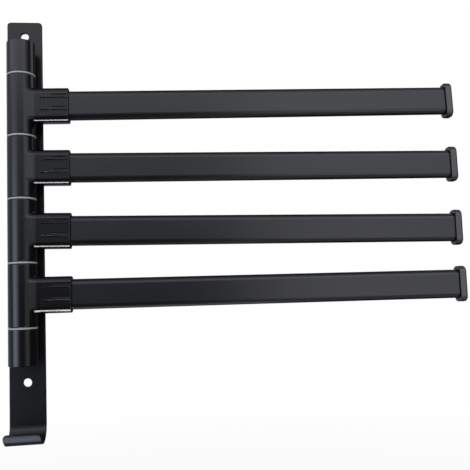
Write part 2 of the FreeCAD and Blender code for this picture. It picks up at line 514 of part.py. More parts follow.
for arm in ARM_NUMBERS:
    rise = "sizes.rise_of_arm_%d" % arm
    lean_back = "-%s" % rise
    middle_z = "%s - (%d - 0.5) * sizes.sleeve_pitch" % (FIRST_WASHER_Z, arm)

    # connector: the sleeve stays upright, the socket and its flared root lean with their arm
    hub_name = "arm_hub_%d" % arm
    hub = new_body(hub_name, y=POST_AXIS_Y, z=middle_z)
    cylinder(hub, hub_name + "_sleeve", "Additive", "XY_Plane", "sizes.post_diameter", SLEEVE_LENGTH,
             lift="-%s / 2" % SLEEVE_LENGTH)
    root_x, root_z = leaned("sizes.flare_start", rise)
    root_sketch = new_sketch(hub, hub_name + "_root_outline", "YZ_Plane", y=root_z, lift=root_x,
                             turn=lean_back, turn_axis="1; 0; 0")
    draw_rounded_rectangle(root_sketch, FLARE_ROOT_DEPTH, "sizes.socket_height", "sizes.socket_corner_round")
    flare_x, flare_z = leaned("sizes.flare_reach", rise)
    flare_sketch = new_sketch(hub, hub_name + "_flare_outline", "YZ_Plane", y=flare_z, lift=flare_x,
                              turn=lean_back, turn_axis="1; 0; 0")
    draw_rounded_rectangle(flare_sketch, "sizes.socket_depth", "sizes.socket_height", "sizes.socket_corner_round")
    loft(hub, root_sketch, flare_sketch, hub_name + "_flare")
    socket_sketch = new_sketch(hub, hub_name + "_socket_outline", "YZ_Plane", turn=lean_back, turn_axis="1; 0; 0")
    draw_rounded_rectangle(socket_sketch, "sizes.socket_depth", "sizes.socket_height", "sizes.socket_corner_round")
    socket = pad(hub, socket_sketch, hub_name + "_socket", "sizes.socket_reach")
    fillet(hub, hub_name + "_blend", socket, "sizes.socket_blend", is_socket_root)
    mouth_x, mouth_z = leaned("sizes.socket_reach", rise)
    cavity_sketch = new_sketch(hub, hub_name + "_cavity_outline", "YZ_Plane", y=mouth_z, lift=mouth_x,
                               turn=lean_back, turn_axis="1; 0; 0")
    draw_oval(cavity_sketch, CAVITY_WIDTH, CAVITY_HEIGHT)
    pocket(hub, cavity_sketch, hub_name + "_cavity", CAVITY_LENGTH)
    cylinder(hub, hub_name + "_bore", "Subtractive", "XY_Plane", "sizes.sleeve_bore", SLEEVE_LENGTH,
             lift="-%s / 2" % SLEEVE_LENGTH)
    for end_name, seat_start, flange_start in (
            ("upper", "%s / 2 - sizes.bush_length" % SLEEVE_LENGTH,
             "%s / 2 - sizes.bush_flange_thickness" % SLEEVE_LENGTH),
            ("lower", "-%s / 2" % SLEEVE_LENGTH, "-%s / 2" % SLEEVE_LENGTH)):
        cylinder(hub, "%s_%s_seat" % (hub_name, end_name), "Subtractive", "XY_Plane", BUSH_SEAT,
                 "sizes.bush_length", lift=seat_start)
        cylinder(hub, "%s_%s_flange_seat" % (hub_name, end_name), "Subtractive", "XY_Plane", FLANGE_SEAT,
                 "sizes.bush_flange_thickness", lift=flange_start)
    panel_x, panel_z = leaned("sizes.groove_start", rise, "-sizes.groove_spacing / 2")
    box(hub, hub_name + "_panel", "Subtractive", "XZ_Plane", GROOVE_LENGTH, "sizes.groove_spacing",
        "sizes.panel_depth", x=panel_x, y=panel_z, lift="sizes.socket_depth / 2 - sizes.panel_depth", turn=rise)
    for row_name, sign in (("upper", "+"), ("lower", "-")):
        groove_x, groove_z = leaned("sizes.groove_start", rise,
                                    "%s sizes.groove_spacing / 2 - sizes.groove_width / 2" % sign)
        box(hub, "%s_%s_groove" % (hub_name, row_name), "Subtractive", "XZ_Plane", GROOVE_LENGTH,
            "sizes.groove_width", "sizes.groove_depth", x=groove_x, y=groove_z,
            lift="sizes.socket_depth / 2 - sizes.groove_depth", turn=rise)
    screw_x, screw_z = leaned("sizes.arm_screw_distance", rise)
    cylinder(hub, hub_name + "_screw_hole", "Subtractive", "XZ_Plane", SCREW_HOLE, "sizes.socket_depth / 2",
             x=screw_x, y=screw_z, lift="-sizes.socket_depth / 2")

    # bushes: each has a flange that lies flush in the sleeve's end
    for end_name in ("upper", "lower"):
        bush_name = "%s_bush_%d" % (end_name, arm)
        if end_name == "upper":
            low_z = "%s + %s / 2 - sizes.bush_length" % (middle_z, SLEEVE_LENGTH)
            flange_lift = "sizes.bush_length - sizes.bush_flange_thickness"
        else:
            low_z = "%s - %s / 2" % (middle_z, SLEEVE_LENGTH)
            flange_lift = "0"
        bush = new_body(bush_name, y=POST_AXIS_Y, z=low_z)
        cylinder(bush, bush_name + "_barrel", "Additive", "XY_Plane", "sizes.bush_diameter", "sizes.bush_length")
        cylinder(bush, bush_name + "_flange", "Additive", "XY_Plane", "sizes.bush_flange_diameter",
                 "sizes.bush_flange_thickness", lift=flange_lift)
        cylinder(bush, bush_name + "_bore", "Subtractive", "XY_Plane", BUSH_BORE, "sizes.bush_length")

    # flat oval tube
    tube_name = "arm_tube_%d" % arm
    tube = new_body(tube_name, y=POST_AXIS_Y, z=middle_z, rise=rise)
    tube_sketch = new_sketch(tube, tube_name + "_outline", "YZ_Plane", lift="sizes.socket_floor")
    draw_oval(tube_sketch, "sizes.tube_depth", "sizes.tube_height")
    draw_oval(tube_sketch, INNER_WIDTH, INNER_HEIGHT)
    pad(tube, tube_sketch, tube_name + "_wall", "%s - sizes.socket_floor" % TUBE_END)
    cylinder(tube, tube_name + "_screw_hole", "Subtractive", "XZ_Plane", SCREW_HOLE, "sizes.tube_depth / 2",
             x="sizes.arm_screw_distance", lift="-sizes.tube_depth / 2")

    # end cap: rim and plug are one moulding
    cap_name = "end_cap_%d" % arm
    cap = new_body(cap_name, y=POST_AXIS_Y, z=middle_z, rise=rise)
    rim_sketch = new_sketch(cap, cap_name + "_rim_outline", "YZ_Plane", lift="sizes.arm_length - sizes.cap_thickness")
    draw_oval(rim_sketch, "sizes.cap_depth", "sizes.cap_height")
    rim = pad(cap, rim_sketch, cap_name + "_rim", "sizes.cap_thickness")
    outer_face_x = number("sizes.arm_length")
    inner_face_x = number("sizes.arm_length - sizes.cap_thickness")
    rounded_rim = fillet(cap, cap_name + "_edge", rim, "sizes.cap_edge_round",
                         lambda edge: lies_in_plane(edge, outer_face_x))
    fillet(cap, cap_name + "_shoulder", rounded_rim, "sizes.cap_shoulder_round",
           lambda edge: lies_in_plane(edge, inner_face_x))
    plug_sketch = new_sketch(cap, cap_name + "_plug_outline", "YZ_Plane", lift="sizes.arm_length - sizes.cap_thickness")
    draw_oval(plug_sketch, "%s - 2 * sizes.cap_plug_fit" % INNER_WIDTH, "%s - 2 * sizes.cap_plug_fit" % INNER_HEIGHT)
    pad(cap, plug_sketch, cap_name + "_plug", "sizes.cap_plug_length", backwards=True)

    # screw at the back of the socket
    screw_name = "arm_screw_%d" % arm
    screw_body = new_body(screw_name, y=POST_AXIS_Y, z=middle_z, rise=rise)
    cylinder(screw_body, screw_name + "_head", "Additive", "XZ_Plane", "sizes.arm_screw_head_diameter",
             "sizes.arm_screw_head_height", x="sizes.arm_screw_distance",
             lift="-sizes.socket_depth / 2 - sizes.arm_screw_head_height")
    cylinder(screw_body, screw_name + "_shank", "Additive", "XZ_Plane", "sizes.arm_screw_diameter",
             "sizes.arm_screw_length", x="sizes.arm_screw_distance", lift="-sizes.socket_depth / 2")

doc.recompute()

# ---------------------------------------------------------------- check every feature, then write one file per node
for item in doc.Objects:
    if "Invalid" in item.State or "Error" in item.State:
        raise RuntimeError("%s did not build: %s" % (item.Name, item.State))
nodes = [item for item in doc.Objects if item.TypeId == "PartDesign::Body"] + [foot_screw_group]
for node in nodes:
    shape = node.Shape
    if shape.isNull() or not shape.isValid():
        raise RuntimeError("%s has no valid shape" % node.Label)
    expected = 4 if node is foot_screw_group else 1
    if len(shape.Solids) != expected:
        raise RuntimeError("%s has %d solids" % (node.Label, len(shape.Solids)))
for node in nodes:
    node.Shape.exportStep("parts/%s.step" % node.Label)
    box_of_node = node.Shape.BoundBox
    print("%-20s volume %10.1f  x %7.1f..%6.1f  y %6.1f..%5.1f  z %7.1f..%6.1f" % (
        node.Label, node.Shape.Volume, box_of_node.XMin, box_of_node.XMax,
        box_of_node.YMin, box_of_node.YMax, box_of_node.ZMin, box_of_node.ZMax))
print("%d nodes written" % len(nodes))
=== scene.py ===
import json
import math

import bpy
import numpy as np
from mathutils import Matrix, Vector


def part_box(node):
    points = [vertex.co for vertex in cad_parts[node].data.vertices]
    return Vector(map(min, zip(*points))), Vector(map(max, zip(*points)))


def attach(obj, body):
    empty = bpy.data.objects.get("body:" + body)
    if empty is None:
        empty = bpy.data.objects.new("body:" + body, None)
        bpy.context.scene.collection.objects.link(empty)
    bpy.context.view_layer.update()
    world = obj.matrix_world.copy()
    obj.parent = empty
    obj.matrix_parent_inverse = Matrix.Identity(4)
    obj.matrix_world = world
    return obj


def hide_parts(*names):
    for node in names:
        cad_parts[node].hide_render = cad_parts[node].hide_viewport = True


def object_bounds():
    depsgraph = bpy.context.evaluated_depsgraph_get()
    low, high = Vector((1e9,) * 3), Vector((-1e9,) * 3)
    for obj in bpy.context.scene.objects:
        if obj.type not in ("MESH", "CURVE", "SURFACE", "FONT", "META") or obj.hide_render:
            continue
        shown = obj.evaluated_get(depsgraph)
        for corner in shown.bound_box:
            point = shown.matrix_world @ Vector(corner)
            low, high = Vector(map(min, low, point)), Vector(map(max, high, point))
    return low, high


# Swing arm towel bar. Metres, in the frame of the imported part: X along the arms, Y into the wall, Z up.
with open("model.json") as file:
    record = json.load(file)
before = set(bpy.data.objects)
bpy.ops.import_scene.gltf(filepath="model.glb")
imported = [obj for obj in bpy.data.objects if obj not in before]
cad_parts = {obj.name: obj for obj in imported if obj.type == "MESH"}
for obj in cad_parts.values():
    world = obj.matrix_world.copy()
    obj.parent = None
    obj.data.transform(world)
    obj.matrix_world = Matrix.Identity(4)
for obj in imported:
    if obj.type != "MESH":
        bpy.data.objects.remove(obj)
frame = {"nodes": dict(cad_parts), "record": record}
cad_low, cad_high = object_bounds()
nodes = frame["nodes"]

# ---------------------------------------------------------------- camera
CAMERA_PLACE = Vector((0.10534, -0.51511, -0.08164))
CAMERA_YAW = -0.12364
CAMERA_PITCH = 0.10061
CAMERA_ROLL = 0.04261
CAMERA_LENS = 47.489
SENSOR_WIDTH = 36.0


def make_camera():
    data = bpy.data.cameras.new("camera")
    data.lens = CAMERA_LENS
    data.sensor_width = SENSOR_WIDTH
    data.clip_start = 0.01
    camera = bpy.data.objects.new("camera", data)
    turn = (Matrix.Rotation(CAMERA_YAW, 3, "Z") @ Matrix.Rotation(CAMERA_PITCH, 3, "X")
            @ Matrix.Rotation(CAMERA_ROLL, 3, "Y"))
    right, forward, up = turn.col
    camera.matrix_world = Matrix((right, up, -forward)).transposed().to_4x4()
    camera.location = CAMERA_PLACE
    bpy.context.scene.collection.objects.link(camera)
    bpy.context.scene.camera = camera


make_camera()


# ---------------------------------------------------------------- materials
class Shader:
    """A small helper that adds and links nodes of one material."""

    def __init__(self, name):
        self.material = bpy.data.materials.new(name)
        self.material.use_nodes = True
        self.tree = self.material.node_tree
        self.surface = self.tree.nodes["Principled BSDF"]

    def add(self, kind, **settings):
        node = self.tree.nodes.new(kind)
        for name, value in settings.items():
            if name in node.inputs:
                node.inputs[name].default_value = value
            else:
                setattr(node, name, value)
        return node

    def link(self, source, target):
        self.tree.links.new(source, target)


def mix_colours(shader, factor, dark, light):
    mix = shader.add("ShaderNodeMix", data_type="RGBA")
    mix.inputs[6].default_value = (*dark, 1)
    mix.inputs[7].default_value = (*light, 1)
    shader.link(factor, mix.inputs[0])
    return mix.outputs[2]


def spread(shader, factor, low, high):
    """Spread a value that runs from 0 to 1 between low and high."""
    node = shader.add("ShaderNodeMapRange")
    node.inputs["To Min"].default_value = low
    node.inputs["To Max"].default_value = high
    shader.link(factor, node.inputs["Value"])
    return node.outputs["Result"]


CLOUD_SCALE = 35.0
PEEL_DEPTH = 0.0001


def coat(name, tones, roughness, grain, bump, gloss=0.35):
    """Painted or moulded surface: a fine orange peel, slight clouds in tone and in sheen."""
    shader = Shader(name)
    place = shader.add("ShaderNodeTexCoord").outputs["Object"]
    clouds = shader.add("ShaderNodeTexNoise", Scale=CLOUD_SCALE, Detail=3.0)
    peel = shader.add("ShaderNodeTexNoise", Scale=grain, Detail=2.0, Roughness=0.6)
    shader.link(place, clouds.inputs["Vector"])
    shader.link(place, peel.inputs["Vector"])
    shader.surface.inputs["Specular IOR Level"].default_value = gloss
    tone = mix_colours(shader, clouds.outputs["Fac"], *tones)
    sheen = spread(shader, clouds.outputs["Fac"], *roughness)
    shader.link(tone, shader.surface.inputs["Base Color"])
    shader.link(sheen, shader.surface.inputs["Roughness"])
    relief = shader.add("ShaderNodeBump", Strength=bump, Distance=PEEL_DEPTH)
    shader.link(peel.outputs["Fac"], relief.inputs["Height"])
    shader.link(relief.outputs["Normal"], shader.surface.inputs["Normal"])
    return shader.material


def metal(name, tones, roughness):
    """Plated steel with fine scratches."""
    shader = Shader(name)
    place = shader.add("ShaderNodeTexCoord").outputs["Object"]
    scratches = shader.add("ShaderNodeTexNoise", Scale=900.0, Detail=4.0)
    shader.link(place, scratches.inputs["Vector"])
    shader.surface.inputs["Metallic"].default_value = 1.0
    tone = mix_colours(shader, scratches.outputs["Fac"], *tones)
    sheen = spread(shader, scratches.outputs["Fac"], *roughness)
    shader.link(tone, shader.surface.inputs["Base Color"])
    shader.link(sheen, shader.surface.inputs["Roughness"])
    return shader.material


# darkest and lightest tone of each surface
BLACK_TONES = ((0.003, 0.0032, 0.004), (0.005, 0.0052, 0.006))
TUBE_TONES = ((0.003, 0.0034, 0.0044), (0.005, 0.0054, 0.0064))
CAP_TONES = ((0.005, 0.005, 0.0055), (0.007, 0.007, 0.0075))
WASHER_TONES = ((0.36, 0.37, 0.36), (0.44, 0.45, 0.44))
BUSH_TONES = ((0.62, 0.61, 0.58), (0.7, 0.69, 0.66))
SCREW_TONES = ((0.012, 0.012, 0.013), (0.02, 0.02, 0.021))
STEEL_TONES = ((0.5, 0.5, 0.5), (0.62, 0.62, 0.63))

COATS = {
    "strip_paint": dict(tones=BLACK_TONES, roughness=(0.28, 0.34), grain=1400.0, bump=0.10, gloss=0.3),
    "post_end_paint": dict(tones=BLACK_TONES, roughness=(0.16, 0.20), grain=1600.0, bump=0.04),
    "tube_paint": dict(tones=TUBE_TONES, roughness=(0.26, 0.32), grain=1400.0, bump=0.08, gloss=0.42),
    "connector_plastic": dict(tones=BLACK_TONES, roughness=(0.12, 0.15), grain=2200.0, bump=0.03,
                              gloss=0.31),
    "cap_plastic": dict(tones=CAP_TONES, roughness=(0.24, 0.30), grain=2200.0, bump=0.06, gloss=0.65),
    "washer_plastic": dict(tones=WASHER_TONES, roughness=(0.35, 0.45), grain=1500.0, bump=0.05),
    "bush_plastic": dict(tones=BUSH_TONES, roughness=(0.4, 0.5), grain=1500.0, bump=0.05),
    "dark_screw": dict(tones=SCREW_TONES, roughness=(0.3, 0.42), grain=1800.0, bump=0.08),
}
MATERIALS = {slot: coat(slot, **look) for slot, look in COATS.items()}
MATERIALS["bare_steel"] = metal("bare_steel", STEEL_TONES, roughness=(0.25, 0.4))
SLOT_OF_NODE = {entry["node"]: entry["material_slot"] for entry in frame["record"]["subparts"]}


def give_material(piece, slot):
    piece.data.materials.clear()
    piece.data.materials.append(MATERIALS[slot])


for node_name, node in nodes.items():
    give_material(node, SLOT_OF_NODE[node_name])

# ---------------------------------------------------------------- sizes of the pieces modelled here
MM = 0.001
ARM_NUMBERS = (1, 2, 3, 4)
ARM_RISES = {1: 0.56, 2: -0.38, 3: -1.12, 4: -0.76}  # degrees each arm leans off level
washer_low, washer_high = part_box("friction_washer_1")
POST_Y = (washer_low.y + washer_high.y) / 2
SLEEVE_RADIUS = 11 * MM
SOCKET_HALF_DEPTH = 6.5 * MM
SOCKET_HALF_HEIGHT = 14.2 * MM
SOCKET_CORNER = 5 * MM
SOCKET_REACH = 37.5 * MM
SOCKET_FLOOR = 13.5 * MM
TUBE_HALF_DEPTH = 4.5 * MM
TUBE_HALF_HEIGHT = 11.9 * MM
TUBE_WALL = 1.2 * MM
TUBE_FIT = 0.1 * MM
TUBE_END = 355 * MM
ARM_LENGTH = 360 * MM


def hub_middle(arm):
    """Where the axis of an arm crosses the post's axis."""
    low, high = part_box("arm_hub_%d" % arm)
    return np.array((0, POST_Y, (low.z + high.z) / 2))


# ---------------------------------------------------------------- solids from distance functions
GRADIENT_STEP = 0.05 * MM
SETTLING_ROUNDS = 4
SETTLING_REACH = 0.25 * MM
SMALLEST_SQUARED_SLOPE = 0.25
SMALLEST_SLOPE = 0.1


def smooth_step(low, high, value):
    share = np.clip((value - low) / (high - low), 0, 1)
    return share * share * (3 - 2 * share)


def overlap(first, second, radius):
    """Distance to where two solids overlap, with the edge between them rounded."""
    outside = np.hypot(np.maximum(first + radius, 0), np.maximum(second + radius, 0))
    return np.minimum(np.maximum(first, second), -radius) + outside


def join(first, second, radius):
    """Distance to two solids as one, with a fillet in the corner between them."""
    inside = np.hypot(np.maximum(radius - first, 0), np.maximum(radius - second, 0))
    return np.maximum(np.minimum(first, second), radius) - inside


def rounded_rectangle(across, upright, half_width, half_height, corner):
    side = np.abs(across) - (half_width - corner)
    top = np.abs(upright) - (half_height - corner)
    outside = np.hypot(np.maximum(side, 0), np.maximum(top, 0))
    return outside + np.minimum(np.maximum(side, top), 0) - corner


def between(value, low, high):
    """Distance to the slab between two parallel planes."""
    return np.maximum(low - value, value - high)


def grid_lines(low, high, step, fine_step, *fine_zones):
    """Places of the grid's planes on one axis, closer together in the fine zones."""
    lines = [low]
    while lines[-1] < high:
        in_fine_zone = any(start - step <= lines[-1] <= end for start, end in fine_zones)
        lines.append(lines[-1] + (fine_step if in_fine_zone else step))
    return np.array(lines)


def gradient(distance, points):
    slopes = []
    for axis in range(3):
        offset = np.zeros(3)
        offset[axis] = GRADIENT_STEP
        slopes.append((distance(points + offset) - distance(points - offset)) / (2 * GRADIENT_STEP))
    return np.stack(slopes, axis=1)


def surface_net(distance, lines):
    """Closed quad mesh of a distance function's zero surface, with one point in each cell it crosses."""
    shape = tuple(len(axis) for axis in lines)
    grid = np.stack(np.meshgrid(*lines, indexing="ij"), axis=-1)
    field = distance(grid.reshape(-1, 3)).reshape(shape)
    inside = field < 0
    total = np.zeros(tuple(n - 1 for n in shape) + (3,))
    count = np.zeros(tuple(n - 1 for n in shape))
    crossings = []
    for axis in range(3):
        near = tuple(slice(0, -1) if n == axis else slice(None) for n in range(3))
        far = tuple(slice(1, None) if n == axis else slice(None) for n in range(3))
        crossed = inside[near] != inside[far]
        share = field[near] / np.where(crossed, field[near] - field[far], 1)
        place = grid[near] + share[..., None] * (grid[far] - grid[near])
        others = [other for other in range(3) if other != axis]
        for sides in ((0, 0), (0, 1), (1, 0), (1, 1)):
            source = [slice(None)] * 3
            for other, side in zip(others, sides):
                source[other] = slice(1, None) if side else slice(0, -1)
            weight = crossed[tuple(source)]
            total += place[tuple(source)] * weight[..., None]
            count += weight
        crossings.append((axis, others, crossed))
    active = count > 0
    points = total[active] / count[active][:, None]
    cell_number = np.full(count.shape, -1)
    cell_number[active] = np.arange(len(points))
    faces = []
    for axis, others, crossed in crossings:
        places = np.argwhere(crossed)
        corners = []
        for back in ((0, 0), (1, 0), (1, 1), (0, 1)):
            cell = places.copy()
            cell[:, others] -= back
            corners.append(cell_number[tuple(cell.T)])
        quads = np.stack(corners, axis=1)
        # the corners run the other way round on the middle axis
        turned = inside[tuple(places.T)] == (axis == 1)
        quads[turned] = quads[turned][:, ::-1]
        faces.append(quads)
    return points, np.concatenate(faces)


def settle(distance, points):
    """Move points onto the zero surface, no further than a short reach."""
    start = points.copy()
    for _ in range(SETTLING_ROUNDS):
        slope = gradient(distance, points)
        size = np.maximum((slope ** 2).sum(axis=1), SMALLEST_SQUARED_SLOPE)
        points = points - (distance(points) / size)[:, None] * slope
        points = start + np.clip(points - start, -SETTLING_REACH, SETTLING_REACH)
    return points


def solid(distance, lines, place):
    """Points, normals and faces of a solid, brought into the frame of the part by a placing function."""
    points, faces = surface_net(distance, lines)
    points = settle(distance, points)
    slopes = gradient(distance, points)
    steepness = np.maximum(np.linalg.norm(slopes, axis=1), SMALLEST_SLOPE)
    normals = slopes / steepness[:, None]
    points, normals = place(points, normals)
    return points, normals, faces


def make_piece(name, solids, slot, body, *replaced):
    """One new piece made of solids, with its material, its body and the CAD nodes that it stands for."""
    points = np.concatenate([piece[0] for piece in solids])
    normals = np.concatenate([piece[1] for piece in solids])
    first = np.cumsum([0] + [len(piece[0]) for piece in solids[:-1]])
    faces = np.concatenate([piece[2] + start for piece, start in zip(solids, first)])
    mesh = bpy.data.meshes.new(name)
    mesh.from_pydata(points.tolist(), [], faces.tolist())
    mesh.shade_smooth()
    mesh.normals_split_custom_set_from_vertices(normals.tolist())
    piece = bpy.data.objects.new(name, mesh)
    bpy.context.scene.collection.objects.link(piece)
    give_material(piece, slot)
    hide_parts(*replaced)
    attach(piece, body)


def on_arm(arm):
    """Placing function for points in an arm's own frame: X along the arm, Y across it, Z upright."""
    lean = math.radians(ARM_RISES[arm])
    turn = np.array(Matrix.Rotation(-lean, 3, "Y"))
    middle = hub_middle(arm)

    def place(points, normals):
        return points @ turn.T + middle, normals @ turn.T

    return place


# ---------------------------------------------------------------- arm connectors
SLEEVE_RIM_ROUND = 0.5 * MM
ROOT_FILLET = 1.0 * MM
ROOT_INSET = 0.02 * MM
SMALLEST_FILLET_SHARE = 0.02
FLARE_START = 0.4 * MM
FLARE_END = 14.6 * MM
MOUTH_ROUND = 0.8 * MM
MOUTH_CHAMFER = 0.45 * MM
BORE_RADIUS = 4.8 * MM
BUSH_SEAT_RADIUS = 6.03 * MM
BUSH_LENGTH = 14 * MM
FLANGE_SEAT_RADIUS = 8.03 * MM
FLANGE_THICKNESS = 1.5 * MM
GROOVE_PLACES = (5 * MM, -5 * MM)
GROOVE_START = 15.2 * MM
GROOVE_END = 36.8 * MM
GROOVE_DEPTH = 1.1 * MM
GROOVE_WIDTH = 1.9 * MM
GROOVE_WALL = 0.5 * MM
GROOVE_RUN_IN = 1 * MM
GROOVE_RUN_OUT = 1.2 * MM
LINE_RISE = 2.7 * MM
LINE_START = 20 * MM
LINE_FADE = 10 * MM
LINE_DEPTH = 0.28 * MM
LINE_WIDTH = 1.1 * MM
SCREW_DISTANCE = 26 * MM
SCREW_HOLE_RADIUS = 1.8 * MM


def socket_distance(along, across, upright):
    """The socket widens towards the post in an S-shaped flare that runs off the sleeve as a tangent."""
    flare = 1 - smooth_step(FLARE_START, FLARE_END, along)
    half_depth = SOCKET_HALF_DEPTH + (SLEEVE_RADIUS - ROOT_INSET - SOCKET_HALF_DEPTH) * flare
    section = rounded_rectangle(across, upright, half_depth, SOCKET_HALF_HEIGHT, SOCKET_CORNER)
    return overlap(overlap(section, along - SOCKET_REACH, MOUTH_ROUND), -along, MOUTH_ROUND)


def grip_relief(along, upright):
    """Depth of the socket's two steep grooves, each with a shallow line above it that fades in."""
    end = 1 - smooth_step(GROOVE_END - GROOVE_RUN_OUT, GROOVE_END, along)
    groove_share = end * smooth_step(GROOVE_START, GROOVE_START + GROOVE_RUN_IN, along)
    line_share = end * smooth_step(LINE_START, LINE_START + LINE_FADE, along)
    depth = np.zeros(len(along))
    for place in GROOVE_PLACES:
        groove = np.clip((GROOVE_WIDTH / 2 - np.abs(upright - place)) / GROOVE_WALL, 0, 1)
        line = np.clip(1 - np.abs(upright - place - LINE_RISE) / (LINE_WIDTH / 2), 0, 1)
        depth += GROOVE_DEPTH * groove * groove_share + LINE_DEPTH * line * line_share
    return depth


def hub_distance(points, lean, half_length):
    """Signed distance from points in the arm's frame to its connector's surface, negative inside."""
    along, across, upright = points.T
    out = along * math.cos(lean) - upright * math.sin(lean)
    height = np.abs(upright * math.cos(lean) + along * math.sin(lean))
    radial = np.hypot(out, across)

    # the fillet fades out where the flare runs off the sleeve as a tangent
    corner_start = SOCKET_HALF_HEIGHT - SOCKET_CORNER
    on_flat = 1 - smooth_step(corner_start, SOCKET_HALF_HEIGHT, np.abs(upright))
    flatness = np.abs(across) / np.maximum(radial, MM) * on_flat
    fillet = ROOT_FILLET * np.clip(1 - flatness, SMALLEST_FILLET_SHARE, 1)
    sleeve = overlap(radial - SLEEVE_RADIUS, height - half_length, SLEEVE_RIM_ROUND)
    body = join(sleeve, socket_distance(along, across, upright), fillet)

    half_depth = TUBE_HALF_DEPTH + TUBE_FIT
    cavity = rounded_rectangle(across, upright, half_depth, TUBE_HALF_HEIGHT + TUBE_FIT, half_depth)
    mouth = np.clip(along - (SOCKET_REACH - MOUTH_CHAMFER), 0, 2 * MOUTH_CHAMFER)
    face = np.maximum(np.abs(upright) - corner_start, between(along, GROOVE_START - MM, SOCKET_REACH))
    grip = np.maximum(across + SOCKET_HALF_DEPTH - grip_relief(along, upright), face)
    cuts = (np.maximum(cavity - mouth, SOCKET_FLOOR - along),
            radial - BORE_RADIUS,
            np.maximum(radial - BUSH_SEAT_RADIUS, (half_length - BUSH_LENGTH) - height),
            np.maximum(radial - FLANGE_SEAT_RADIUS, (half_length - FLANGE_THICKNESS) - height),
            np.maximum(np.hypot(along - SCREW_DISTANCE, upright) - SCREW_HOLE_RADIUS, -across),
            grip)
    for cut in cuts:
        body = np.maximum(body, -cut)
    return body


def make_hub(arm):
    """The connector's grid is fine at its mouth, at its front, and at the grooves with their lines."""
    node = "arm_hub_%d" % arm
    low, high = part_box(node)
    half_length = (high.z - low.z) / 2
    lean = math.radians(ARM_RISES[arm])
    side = SLEEVE_RADIUS + MM
    top = half_length + MM
    mouth = (SOCKET_REACH - 2 * MM, SOCKET_REACH + MM)
    front = (-7 * MM, -5 * MM)
    grooves = [(place - 1.4 * MM, place + 3.6 * MM) for place in GROOVE_PLACES]
    lines = (grid_lines(-side, 39 * MM, 0.6 * MM, 0.3 * MM, mouth),
             grid_lines(-side, side, 0.6 * MM, 0.3 * MM, front),
             grid_lines(-top, top, 0.6 * MM, 0.17 * MM, *grooves))
    piece = solid(lambda points: hub_distance(points, lean, half_length), lines, on_arm(arm))
    make_piece("connector_%d" % arm, [piece], "connector_plastic", "arm_%d" % arm, node)


# ---------------------------------------------------------------- end caps
CAP_HALF_DEPTH = 6.5 * MM
CAP_HALF_HEIGHT = 14.9 * MM
CAP_CORNER = 5 * MM
CAP_SKIRT = 1 * MM
CAP_FACE = 355.3 * MM
CAP_EDGE_ROUND = 1.7 * MM
CAP_SHOULDER_ROUND = 0.8 * MM
CAP_SEAM = 0.3 * MM
PLUG_LENGTH = 14 * MM
PLUG_FIT = 0.12 * MM
PLUG_END_ROUND = 0.6 * MM
PLUG_ROOT = 2 * MM


def cap_distance(points):
    """End cap: a rim with a short skirt over the tube's end and a plug inside the tube."""
    along, across, upright = points.T
    section = rounded_rectangle(across, upright, CAP_HALF_DEPTH, CAP_HALF_HEIGHT, CAP_CORNER)
    rim = overlap(section, along - ARM_LENGTH, CAP_EDGE_ROUND)
    rim = overlap(rim, (TUBE_END - CAP_SKIRT) - along, CAP_SHOULDER_ROUND)
    half_depth = TUBE_HALF_DEPTH + CAP_SEAM
    room = rounded_rectangle(across, upright, half_depth, TUBE_HALF_HEIGHT + CAP_SEAM, half_depth)
    rim = np.maximum(rim, -np.maximum(room, along - CAP_FACE))
    inset = TUBE_WALL + PLUG_FIT
    half_depth = TUBE_HALF_DEPTH - inset
    plug = rounded_rectangle(across, upright, half_depth, TUBE_HALF_HEIGHT - inset, half_depth)
    plug = overlap(plug, (CAP_FACE - PLUG_LENGTH) - along, PLUG_END_ROUND)
    return np.minimum(rim, np.maximum(plug, along - CAP_FACE - PLUG_ROOT))


def make_cap(arm):
    rim = (TUBE_END - 2 * MM, ARM_LENGTH)
    lines = (grid_lines(CAP_FACE - PLUG_LENGTH - MM, ARM_LENGTH + MM, 1 * MM, 0.35 * MM, rim),
             grid_lines(-7.2 * MM, 7.2 * MM, 0.5 * MM, 0.5 * MM),
             grid_lines(-16 * MM, 16 * MM, 0.5 * MM, 0.5 * MM))
    cap = solid(cap_distance, lines, on_arm(arm))
    make_piece("cap_%d" % arm, [cap], "cap_plastic", "arm_%d" % arm, "end_cap_%d" % arm)


# ---------------------------------------------------------------- screws
RECESS_HALF_WIDTH = 0.5 * MM
RECESS_HALF_LENGTH = 2 * MM
RECESS_DEPTH = 1.2 * MM
RECESS_TAPER = 0.35
RECESS_NARROWING = 0.3
PAN_HEAD_RADIUS = 3.25 * MM
PAN_HEAD_HEIGHT = 2 * MM
PAN_HEAD_ROUND = 1.2 * MM
ARM_SCREW_RADIUS = 1.75 * MM
ARM_SCREW_LENGTH = 6 * MM
HEAD_OVERLAP = 0.5 * MM
SUNK_HEAD_RADIUS = 3.8 * MM
SUNK_HEAD_HEIGHT = 2 * MM
FOOT_SCREW_RADIUS = 2 * MM
SUNK_HEAD_SLOPE = (SUNK_HEAD_RADIUS - FOOT_SCREW_RADIUS) / SUNK_HEAD_HEIGHT
FOOT_SCREW_LENGTH = 8 * MM
FOOT_SCREW_HEIGHTS = (122.65 * MM, 108.65 * MM, -105.65 * MM, -119.65 * MM)
SCREW_FIT = 0.05 * MM


def cross_recess(side, upright, depth):
    """Cross-shaped recess that narrows towards its bottom; depth counts from the head's face."""
    taper = depth * RECESS_TAPER
    half_width = RECESS_HALF_WIDTH - taper * RECESS_NARROWING
    half_length = RECESS_HALF_LENGTH - taper
    first = np.maximum(np.abs(side) - half_width, np.abs(upright) - half_length)
    second = np.maximum(np.abs(upright) - half_width, np.abs(side) - half_length)
    return np.maximum(np.minimum(first, second), depth - RECESS_DEPTH)


